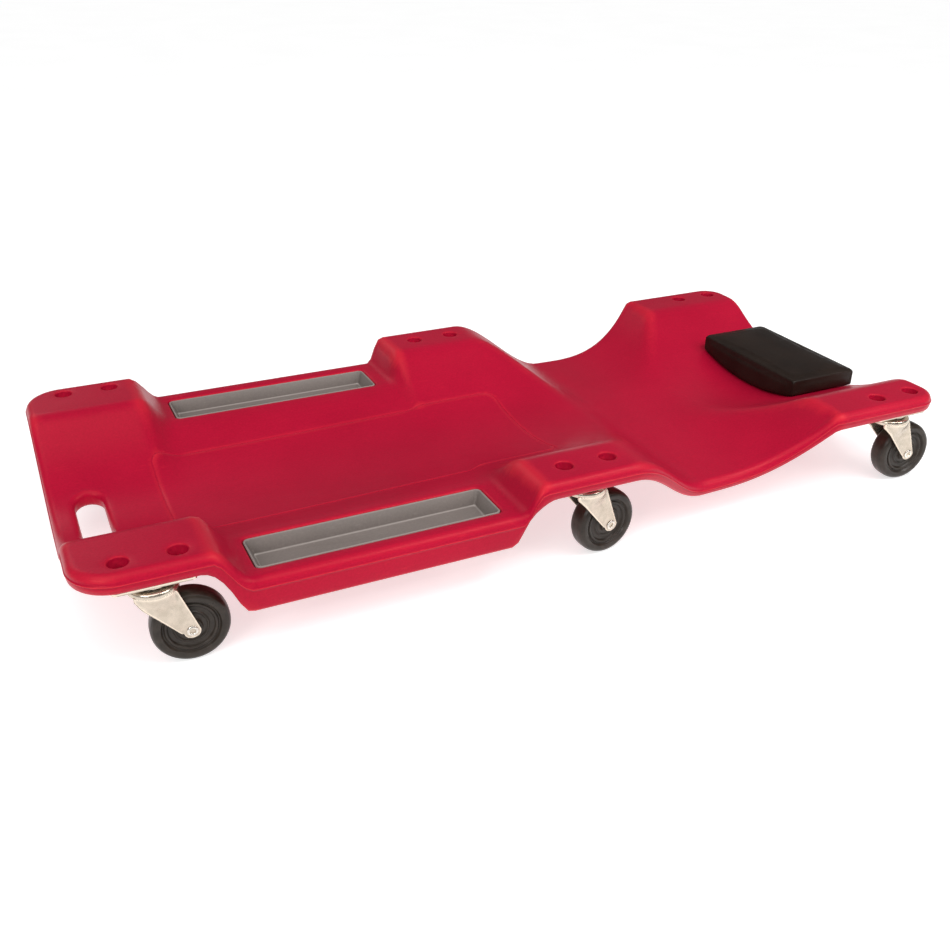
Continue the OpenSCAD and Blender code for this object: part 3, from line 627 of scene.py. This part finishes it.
def deck():
    points, faces = [], []
    plan = outline()
    in_top, in_low = inward(plan, EDGE_R), inward(plan, LOW_EDGE_R)
    top_edge, low_edge = top_z(*in_top.T), under_z(*in_low.T)
    rings = []
    for a in [math.radians(90 * i / 8) for i in range(9)]:
        rings.append((inward(plan, EDGE_R * (1 - math.sin(a))),
                      top_edge - EDGE_R * (1 - math.cos(a))))
    bead, bead_h = 0.9 * MM, 0.8 * MM
    bead_z = top_edge - EDGE_R - 0.3 * MM
    rings += [(inward(plan, -bead), bead_z), (inward(plan, -bead), bead_z - bead_h)]
    rings.append((plan, bead_z - bead_h - 0.4 * MM))
    wall = bead_z - bead_h - 0.4 * MM, low_edge + LOW_EDGE_R
    rings += [(plan, wall[0] * (1 - t) + wall[1] * t) for t in (0.12, 0.5, 0.88)]
    for a in [math.radians(90 * i / 5) for i in range(5, -1, -1)]:
        rings.append((inward(plan, LOW_EDGE_R * (1 - math.sin(a)) + 0.3 * MM * math.sin(a)),
                      low_edge + LOW_EDGE_R * (1 - math.cos(a))))
    numbers = [ring_of(points, flat, z) for flat, z in rings]
    for a, b in zip(numbers, numbers[1:]):
        faces += bridge(a, b)
    top_ring, low_ring = numbers[0], numbers[-1]

    # wells for the bolt heads
    holes_top = []
    for x, y in WELLS:
        rim = 2.0 * MM
        steps = [(WELL_R + rim * (1 - math.sin(a)), PAD_TOP - rim * (1 - math.cos(a)))
                 for a in quarter(4)]
        steps += [(WELL_R - 0.1 * MM, WELL_BOTTOM + 1.2 * MM),
                  (WELL_R - 0.5 * MM, WELL_BOTTOM + 0.3 * MM),
                  (WELL_R - 1.4 * MM, WELL_BOTTOM)]
        loops = [ring_of(points, circle(x, y, r, 36), z) for r, z in steps]
        for a, b in zip(loops, loops[1:]):
            faces += bridge(a, b)
        faces.append(tuple(loops[-1]))
        holes_top.append(loops[0])

    # pockets for the trays
    for side in (-1, 1):
        soft, play = 3.2 * MM, 0.5 * MM
        steps = [(play + soft * (1 - math.sin(a)), SHELF_Z - soft * (1 - math.cos(a)))
                 for a in quarter(6)]
        steps += [(play - TRAY_LEAN, TRAY_LOW - 0.2 * MM)]
        loops = [ring_of(points, tray_loop(side, grow), z) for grow, z in steps]
        for a, b in zip(loops, loops[1:]):
            faces += bridge(a, b)
        faces.append(tuple(loops[-1]))
        holes_top.append(loops[0])

    # the hand slot, through the dish
    soft_top, soft_low = 7 * MM, 8 * MM
    slot = []
    outer = stadium(soft_top)
    for a in quarter(7):
        slot.append((stadium(soft_top * (1 - math.sin(a))),
                     top_z(*outer.T) - soft_top * (1 - math.cos(a))))
    outer = stadium(soft_low)
    for a in reversed(quarter(5)):
        slot.append((stadium(soft_low * (1 - math.sin(a))),
                     under_z(*outer.T) + soft_low * (1 - math.cos(a))))
    loops = [ring_of(points, flat, z) for flat, z in slot]
    for a, b in zip(loops, loops[1:]):
        faces += bridge(a, b)
    holes_top.append(loops[0])
    slot_low = loops[-1]

    # the groove round the plain panel in the dish
    groove = []
    for grow, deep in ((1.1, 0.0), (0.6, 0.3), (0.2, 0.6), (-0.2, 0.6), (-0.6, 0.3), (-1.1, 0.0)):
        cx, cy, length, width, r = PANEL
        g = grow * MM
        flat = np.array(rounded_rect(cx, cy, length + 2 * g, width + 2 * g, r + g, 10, 90, 36))
        groove.append(ring_of(points, flat, top_z(*flat.T) - deep * MM))
    for a, b in zip(groove, groove[1:]):
        faces += bridge(a, b)

    spots = lattice(6.5 * MM, EDGE_R, 11 * MM)
    spots = clear_of(spots, in_top, 3 * MM)
    cx, cy, length, width, r = PANEL
    guards = [inward(in_top, 3 * MM), stadium(soft_top + 3 * MM), stadium(soft_top + 7 * MM)]
    for g in (-8 * MM, -4.5 * MM, 4.5 * MM, 8 * MM):
        guards.append(np.array(rounded_rect(cx, cy, length + 2 * g, width + 2 * g, r + g, 10, 90,
                                            36)))
    guards += [tray_loop(side, 7 * MM) for side in (-1, 1)]
    for ring in [[points[i] for i in ring]
                 for ring in holes_top + [groove[0], groove[-1]]] + guards:
        spots = clear_of(spots, ring, 2.8 * MM)
    for i, ring in enumerate(guards):
        for other in [in_top] + guards[:i]:
            ring = clear_of(ring, other, 2.2 * MM)
        spots = np.concatenate([spots, ring])

    def open_top(x, y, gap=0.0):
        out = np.zeros(x.shape, bool)
        for wx, wy in WELLS:
            out |= np.hypot(x - wx, y - wy) < WELL_R + 1.95 * MM + gap
        for side in (-1, 1):
            grow = 2 * (3.65 * MM + gap)
            out |= in_rect(x, y, TRAY_X, side * TRAY_Y, TRAY_LEN + grow, TRAY_W + grow,
                           TRAY_CORNER_R + grow / 2)
        slot_dy = np.maximum(np.abs(y) - (SLOT_LEN - SLOT_W) / 2, 0)
        out |= np.hypot(x - SLOT_X, slot_dy) < SLOT_W / 2 + 6.9 * MM + gap
        g = 1.05 * MM
        band = in_rect(x, y, cx, cy, length + 2 * g, width + 2 * g, r + g)
        band &= ~in_rect(x, y, cx, cy, length - 2 * g, width - 2 * g, r - g)
        return out | band

    spots = spots[~open_top(spots[:, 0], spots[:, 1], 1 * MM)]

    def keep_top(x, y):
        return inside(x, y, in_top) & ~open_top(x, y)

    faces += filled([top_ring, *holes_top, groove[0], groove[-1]], spots, keep_top, top_z, points)

    under = lattice(9 * MM, LOW_EDGE_R, 12 * MM)
    under = clear_of(clear_of(under, in_low, 3 * MM), stadium(soft_low), 3 * MM)
    in_slot = np.hypot(under[:, 0] - SLOT_X,
                       np.maximum(np.abs(under[:, 1]) - (SLOT_LEN - SLOT_W) / 2, 0))
    under = under[in_slot > SLOT_W / 2 + soft_low]

    def keep_low(x, y):
        slot_r = np.hypot(x - SLOT_X, np.maximum(np.abs(y) - (SLOT_LEN - SLOT_W) / 2, 0))
        return inside(x, y, in_low) & (slot_r > SLOT_W / 2 + soft_low - 0.1 * MM)

    faces += filled([low_ring, slot_low], under, keep_low, under_z, points)
    return sheet("moulded_deck", [(points, faces)], "deck_plastic", "deck_body", ["deck"])


def inside(x, y, loop):
    """True inside a loop of the plan. The left side comes first in a loop."""
    side = loop[:SIDE_COUNT]
    order = np.argsort(side[:, 0])
    xs, ys = side[order, 0], -side[order, 1]
    slack = 0.02 * MM
    return (np.abs(y) < np.interp(x, xs, ys) - slack) & (x > xs[0] + slack) & (x < xs[-1] - slack)


deck()

# ---------------------------------------------------------------- the tool trays

for side, name in ((-1, "tool_tray_left"), (1, "tool_tray_right")):
    floor, rim = TRAY_LOW + TRAY_WALL, SHELF_Z - 0.6 * MM
    steps = [(-TRAY_LEAN - 2 * MM, TRAY_LOW), (-TRAY_LEAN, TRAY_LOW + 1.5 * MM),
             (-0.4 * MM, rim - 2.4 * MM),
             (-0.2 * MM, rim - 1 * MM), (-0.6 * MM, rim - 0.3 * MM), (-1.3 * MM, rim),
             (-1.9 * MM, rim - 0.2 * MM),
             (-2.6 * MM, rim - 1.1 * MM)]
    soft = 2 * MM
    low = (-TRAY_WALL - TRAY_LEAN + 1 * MM, floor + soft)
    steps += [(low[0] - soft * (1 - math.cos(a)), low[1] - soft * math.sin(a)) for a in quarter(5)]
    points, faces = [], []
    loops = [ring_of(points, tray_loop(side, grow), z) for grow, z in steps]
    for a, b in zip(loops, loops[1:]):
        faces += bridge(a, b)
    faces += [tuple(loops[0]), tuple(loops[-1])]
    sheet(name + "_moulding", [(points, faces)], "tray_plastic", "deck_body", [name])

# ---------------------------------------------------------------- the casters

WHEEL_R, WHEEL_W = 37.5 * MM, 23 * MM
AXLE_Z = axle_at("foot_left").z
TRAIL = (axle_at("foot_left") - swivel_at("foot_left")).xy.length
HUB_W = WHEEL_W + 2 * MM
FORK_IN = HUB_W + 2 * MM
LEG_T = 2.2 * MM
CROWN_R, CROWN_T = 24 * MM, 2.5 * MM
CROWN_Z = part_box("foot_left_fork")[1].z


def crown():
    """The dished plate above the legs, with a soft shoulder and a turned-in lip."""
    skirt = CROWN_Z - 7.2 * MM
    raw = [(4.1 * MM, CROWN_Z - 0.1 * MM), (15.5 * MM, CROWN_Z), (CROWN_R - 4.5 * MM, CROWN_Z),
           (CROWN_R - 1 * MM, CROWN_Z - 1.6 * MM), (CROWN_R, CROWN_Z - 4 * MM), (CROWN_R, skirt),
           (CROWN_R - CROWN_T, skirt), (CROWN_R - CROWN_T, CROWN_Z - CROWN_T - 2 * MM),
           (CROWN_R - 5 * MM, CROWN_Z - CROWN_T - 0.2 * MM), (4.1 * MM, CROWN_Z - CROWN_T)]
    return lathe(rounded(raw, 1.6 * MM, 4), 72)


def leg(side):
    """A pressed leg: it leaves the crown's round skirt and flattens on its way to the axle."""
    top, low, end_r = CROWN_Z - 5.5 * MM, AXLE_Z - 8 * MM, 8 * MM
    rows, columns = 34, 20
    grids = []
    for face in (0, 1):
        grid = []
        for j in range(rows + 1):
            z = top + (low - top) * j / rows
            down = (top - z) / (top - low)
            back = (19.0 * MM
                    + (TRAIL + end_r - 19.0 * MM) * min(max((top - z) / (top - AXLE_Z), 0), 1))
            fall = min(max((top - 5 * MM - z) / (top - 5 * MM - (AXLE_Z - 5 * MM)), 0), 1)
            front = -19.0 * MM + (TRAIL - 6.2 * MM + 19.0 * MM) * fall
            if z < AXLE_Z - 0.5 * MM:
                half = math.sqrt(max(end_r ** 2 - (z - AXLE_Z) ** 2, (0.4 * MM) ** 2))
                back, front = min(back, TRAIL + half), max(front, TRAIL - half)
            crease = 4 * MM + (TRAIL - 2 * MM) * down
            fold = min(max(crease, front + 0.15 * (back - front)), back - 0.15 * (back - front))
            row = []
            for i in range(columns + 1):
                t = 2 * i / columns
                x = front + (fold - front) * t if t < 1 else fold + (back - fold) * (t - 1)
                bulge = math.sqrt(max(CROWN_R ** 2 - x * x, 0)) if abs(x) < CROWN_R else 0
                flat = FORK_IN / 2 + LEG_T
                fade = max(1 - down / 0.36, 0)
                fade = fade * fade * (3 - 2 * fade)
                wing = max(fold - x, 0) * (0.26 - 0.14 * down) * min(1, 5 * down)
                lip = (0.9 * MM * math.exp(-((x - front) / (2.2 * MM)) ** 2)
                       * min(1, 4 * down) * (1 - down))
                y = flat + max(bulge - flat, 0) * fade + (wing + lip) * (1 - fade)
                boss = min(max((math.hypot(x - TRAIL, z - AXLE_Z) - 6 * MM) / (3 * MM), 0), 1)
                y = flat + (y - flat) * boss
                row.append((x, side * (y - (LEG_T if face else 0)), z))
            grid.append(row)
        grids.append(grid)
    points = [p for grid in grids for row in grid for p in row]
    stride = columns + 1
    back_face = (rows + 1) * stride
    faces = []
    for j in range(rows):
        for i in range(columns):
            a = j * stride + i
            quad = (a, a + 1, a + stride + 1, a + stride)
            faces.append(quad)
            faces.append(tuple(back_face + k for k in reversed(quad)))
    rim = [i for i in range(stride)] + [j * stride + columns for j in range(1, rows + 1)]
    rim += ([rows * stride + i for i in range(columns - 1, -1, -1)]
            + [j * stride for j in range(rows - 1, 0, -1)])
    for a, b in zip(rim, rim[1:] + rim[:1]):
        faces.append((a, b, back_face + b, back_face + a))
    return points, faces


def wheel():
    """A hard moulded wheel: crowned tread, sunk web with a raised ring, and a hub."""
    r, half, hub = WHEEL_R, WHEEL_W / 2, HUB_W / 2
    side = [(6 * MM, hub), (9.5 * MM, hub), (10.5 * MM, half - 2.6 * MM),
            (12.5 * MM, half - 3.6 * MM),
            (14.5 * MM, half - 3.6 * MM), (15.3 * MM, half - 2.6 * MM),
            (16.3 * MM, half - 2.6 * MM),
            (17.2 * MM, half - 4 * MM), (21.5 * MM, half - 4.4 * MM), (22.6 * MM, half - 2 * MM),
            (24.6 * MM, half - 1.6 * MM), (25.4 * MM, half - 3.4 * MM),
            (26.8 * MM, half - 3.2 * MM),
            (28.2 * MM, half - 0.2 * MM), (32.5 * MM, half), (35.2 * MM, half - 1.3 * MM),
            (37 * MM, half - 4.5 * MM), (r, half - 8 * MM), (r, 0)]
    profile = side + [(a, -h) for a, h in reversed(side[:-1])]
    parts = rounded(profile, 0.8 * MM, 3)
    return lathe(parts, 96, about_y=True)


def axle():
    """A rivet with rolled, hollow ends."""
    end = FORK_IN / 2 + LEG_T + 1.5 * MM
    side = [(0, end - 4 * MM), (2.7 * MM, end - 3.8 * MM), (2.8 * MM, end - 0.4 * MM),
            (3.5 * MM, end),
            (4.5 * MM, end - 0.2 * MM), (5.2 * MM, end - 0.7 * MM), (5.2 * MM, end - 1.2 * MM),
            (4 * MM, end - 1.4 * MM), (4 * MM, end - 2 * MM)]
    profile = side + [(a, -h) for a, h in reversed(side)]
    return lathe(rounded(profile, 0.5 * MM, 3), 48, about_y=True)


def caster_place(caster):
    pivot, hub = swivel_at(caster), axle_at(caster)
    yaw = math.atan2(hub.y - pivot.y, hub.x - pivot.x)
    return Matrix.Translation((pivot.x, pivot.y, 0)) @ Matrix.Rotation(yaw, 4, "Z")


for caster in CASTERS:
    place = caster_place(caster)
    at_axle = place @ Matrix.Translation((TRAIL, 0, AXLE_Z))
    fork = [moved(part, place) for part in (crown(), leg(-1), leg(1))]
    sheet(caster + "_pressed_fork", fork, "zinc_plate", caster + "_swivel", [caster + "_fork"])
    sheet(caster + "_rivet", [moved(axle(), at_axle)], "zinc_fastener", caster + "_swivel",
          [caster + "_axle"])
    sheet(caster + "_tyre", [moved(wheel(), at_axle)], "wheel_rubber", caster + "_roller",
          [caster + "_wheel"])

# ---------------------------------------------------------------- the headrest

REST_LOW, REST_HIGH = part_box("headrest_cover")
REST_X = (REST_LOW.x + REST_HIGH.x) / 2
REST_LEN, REST_W = REST_HIGH.x - REST_LOW.x, REST_HIGH.y - REST_LOW.y
REST_TOP = REST_HIGH.z


def rest_floor(x, y):
    """The dish under the cushion, with a gap that the eye reads as a shadow."""
    return float(dish_z(np.array(x), np.array(y))) + 0.7 * MM


def cushion_blank(inset):
    """A closed pad, soft along its top edge and cut to the dish below."""
    points, faces, loops = [], [], []
    soft, top = 3.5 * MM, REST_TOP - inset

    def ring(grow, height):
        r = max(5 * MM + grow, 1 * MM)
        loop = rounded_rect(REST_X, 0, REST_LEN + 2 * grow, REST_W + 2 * grow, r, 6, 12, 24)
        loops.append(ring_of(points, loop, [height(x, y) for x, y in loop]))

    for grow in (-44, -34, -24, -14, -6):
        ring(grow * MM - inset, rest_floor)
    for t in (0.0, 0.25, 0.5, 0.75):
        ring(-inset, lambda x, y: rest_floor(x, y) * (1 - t) + (top - soft) * t + 1 * MM * (1 - t))
    for a in quarter(5):
        ring(-inset - soft * (1 - math.cos(a)), lambda x, y: top - soft + soft * math.sin(a))
    for grow in (-9, -16, -25, -35, -44):
        crown = 1.5 * MM * min(1, -(grow + 5) / 25)
        ring(grow * MM - inset, lambda x, y: top + crown)
    for a, b in zip(loops, loops[1:]):
        faces += bridge(a, b)
    faces += [tuple(loops[0]), tuple(loops[-1])]
    return points, faces


def use(obj):
    bpy.ops.object.select_all(action="DESELECT")
    obj.select_set(True)
    bpy.context.view_layer.objects.active = obj


def applied(obj, kind, name, **settings):
    modifier = obj.modifiers.new(name, kind)
    for key, value in settings.items():
        setattr(modifier, key, value)
    use(obj)
    bpy.ops.object.modifier_apply(modifier=name)


def inflate(obj, pressure, cap):
    """Blows the cover up with cloth pressure, and keeps each point within cap of where it was."""
    start = np.array([v.co for v in obj.data.vertices])
    cloth = obj.modifiers.new("Cloth", "CLOTH")
    cloth.settings.use_pressure = True
    cloth.settings.uniform_pressure_force = pressure
    cloth.settings.tension_stiffness = 20
    cloth.settings.bending_stiffness = 2
    cloth.settings.effector_weights.gravity = 0
    scene = bpy.context.scene
    for step in range(1, 21):
        scene.frame_set(step)
    bpy.context.view_layer.update()
    final = obj.evaluated_get(bpy.context.evaluated_depsgraph_get())
    swollen = np.array([v.co for v in final.data.vertices])
    normals = np.array([v.normal for v in obj.data.vertices])
    obj.modifiers.remove(cloth)
    scene.frame_set(1)
    out = np.clip(((swollen - start) * normals).sum(1), 0, cap)
    return start + normals * out[:, None]


def headrest():
    blank = cushion_blank(0.3 * MM)
    obj = sheet("headrest_pad", [blank], "vinyl", "deck_body",
                ["headrest_cover", "headrest_foam", "headrest_board"])
    applied(obj, "REMESH", "even", mode="VOXEL", voxel_size=2.6 * MM, use_smooth_shade=True)
    shaped = np.array([v.co for v in obj.data.vertices])
    shaped = inflate(obj, 3.0, 1.4 * MM)
    floor = dish_z(shaped[:, 0], shaped[:, 1]) + 0.6 * MM
    shaped[:, 2] = np.clip(shaped[:, 2], floor, REST_TOP + 3 * MM)
    shaped[:, 0] = np.clip(shaped[:, 0], REST_LOW.x - 1.5 * MM, REST_HIGH.x + 1.5 * MM)
    shaped[:, 1] = np.clip(shaped[:, 1], REST_LOW.y - 1.5 * MM, REST_HIGH.y + 1.5 * MM)
    obj.data.vertices.foreach_set("co", shaped.ravel())
    applied(obj, "SMOOTH", "settle", factor=0.5, iterations=1)
    applied(obj, "SUBSURF", "fine", levels=1)
    sew(obj)
    obj.data.polygons.foreach_set("use_smooth", [True] * len(obj.data.polygons))


def sew(obj):
    """The folded seams down the corners and round the top, and the creases that the cover
    pulls towards them."""
    hx, hy = REST_LEN / 2 - 1.2 * MM, REST_W / 2 - 1.2 * MM
    mesh = obj.data
    co = np.array([v.co for v in mesh.vertices])
    normals = np.array([v.normal for v in mesh.vertices])
    x, y, z = np.abs(co[:, 0] - REST_X), np.abs(co[:, 1]), co[:, 2]
    r = 3.5 * MM
    dx, dy = x - hx + r, y - hy + r
    out = np.where((dx > 0) & (dy > 0), np.hypot(dx, dy), np.maximum(dx, dy)) - r
    rim = np.hypot(out, z - REST_TOP + 0.8 * MM)
    raised = 0.9 * MM * np.exp(-(rim / (1.5 * MM)) ** 2)
    post = np.hypot(x - hx + 0.8 * MM, y - hy + 0.8 * MM)
    raised = np.maximum(raised,
                        np.where(z < REST_TOP - 1 * MM,
                                 1.1 * MM * np.exp(-(post / (1.5 * MM)) ** 2), 0))
    corner = np.hypot(x - hx, y - hy)
    pucker = 0.5 * MM * np.exp(-(corner / (18 * MM)) ** 2) * np.abs(np.sin(corner / MM * 0.9))
    raised -= np.where((z > REST_TOP - 16 * MM) & (rim > 3 * MM) & (post > 3 * MM), pucker, 0)
    co += normals * raised[:, None]
    mesh.vertices.foreach_set("co", co.ravel())


headrest()

# ---------------------------------------------------------------- floor, light and camera


def stage_floor():
    mesh = bpy.data.meshes.new("floor")
    reach = 60
    mesh.from_pydata([(-reach, -reach, 0), (reach, -reach, 0), (reach, reach, 0),
                      (-reach, reach, 0)],
                     [], [(0, 1, 2, 3)])
    floor = bpy.data.objects.new("floor", mesh)
    bpy.context.scene.collection.objects.link(floor)
    n = Nodes("floor")
    pale = n.ramp(n.noise(3, 2), [(0.3, (0.57, 0.57, 0.57)), (0.7, (0.61, 0.61, 0.61))])
    rough = n.math("ADD", n.math("MULTIPLY", n.noise(5, 2), 0.1), 0.6)
    mesh.materials.append(n.finish(pale, rough, n.bump(n.noise(30, 2), 0.02, 0.001),
                                   Emission_Color=(1, 1, 1, 1), Emission_Strength=0.66))
    floor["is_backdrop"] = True


def soft_light(name, spot, aim, size, watts, colour=(1, 1, 1)):
    lamp = bpy.data.lights.new(name, "AREA")
    lamp.shape = "RECTANGLE"
    lamp.size, lamp.size_y = size
    lamp.energy = watts
    lamp.color = colour
    obj = bpy.data.objects.new(name, lamp)
    obj.location = spot
    obj.rotation_euler = (Vector(aim) - Vector(spot)).to_track_quat("-Z", "Y").to_euler()
    bpy.context.scene.collection.objects.link(obj)


stage_floor()
soft_light("left_front", (-1.9, -1.6, 1.3), (0, 0, 0.05), (1.0, 0.6), 17)
soft_light("right_front", (1.6, -1.7, 1.5), (0.1, 0, 0.05), (1.0, 0.6), 12)
soft_light("above", (0.75, -0.9, 1.6), (0, 0, 0.1), (1.4, 0.3), 15)
soft_light("behind", (-1.0, 2.2, 1.6), (0, 0, 0.1), (1.4, 0.6), 4)
SKY_STRENGTH, SKY_SPREAD, SKY_FROM = 1.55, math.radians(55), (-0.3, -0.4, 1)
WORLD_STRENGTH = 0.15
sun = bpy.data.lights.new("sky", "SUN")
sun.energy = SKY_STRENGTH
sun.angle = SKY_SPREAD
sky = bpy.data.objects.new("sky", sun)
sky.rotation_euler = Vector(SKY_FROM).to_track_quat("Z", "Y").to_euler()
bpy.context.scene.collection.objects.link(sky)
world = bpy.data.worlds.new("studio")
world.use_nodes = True
world.node_tree.nodes["Background"].inputs["Color"].default_value = (1, 1, 1, 1)
world.node_tree.nodes["Background"].inputs["Strength"].default_value = WORLD_STRENGTH
bpy.context.scene.world = world
bpy.context.scene.view_settings.view_transform = "Standard"

ROLL = math.radians(0.58)
BACK = Vector((-0.3833, -0.7979, 0.4653)).normalized()  # from the object towards the camera
CAMERA_X, CAMERA_Y, CAMERA_Z = -0.5195, -1.0531, 0.622
LENS_MM, SENSOR_MM = 39.85, 36
camera_data = bpy.data.cameras.new("camera")
camera_data.lens = LENS_MM
camera_data.sensor_width = SENSOR_MM
camera = bpy.data.objects.new("camera", camera_data)
right = Vector((0, 0, 1)).cross(BACK).normalized()
up = BACK.cross(right)
rolled_right = math.cos(ROLL) * right + math.sin(ROLL) * up
rolled_up = -math.sin(ROLL) * right + math.cos(ROLL) * up
camera.matrix_world = Matrix((
    (rolled_right.x, rolled_up.x, BACK.x, CAMERA_X),
    (rolled_right.y, rolled_up.y, BACK.y, CAMERA_Y),
    (rolled_right.z, rolled_up.z, BACK.z, CAMERA_Z),
    (0, 0, 0, 1)))
bpy.context.scene.collection.objects.link(camera)
bpy.context.scene.camera = camera

low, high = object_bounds()
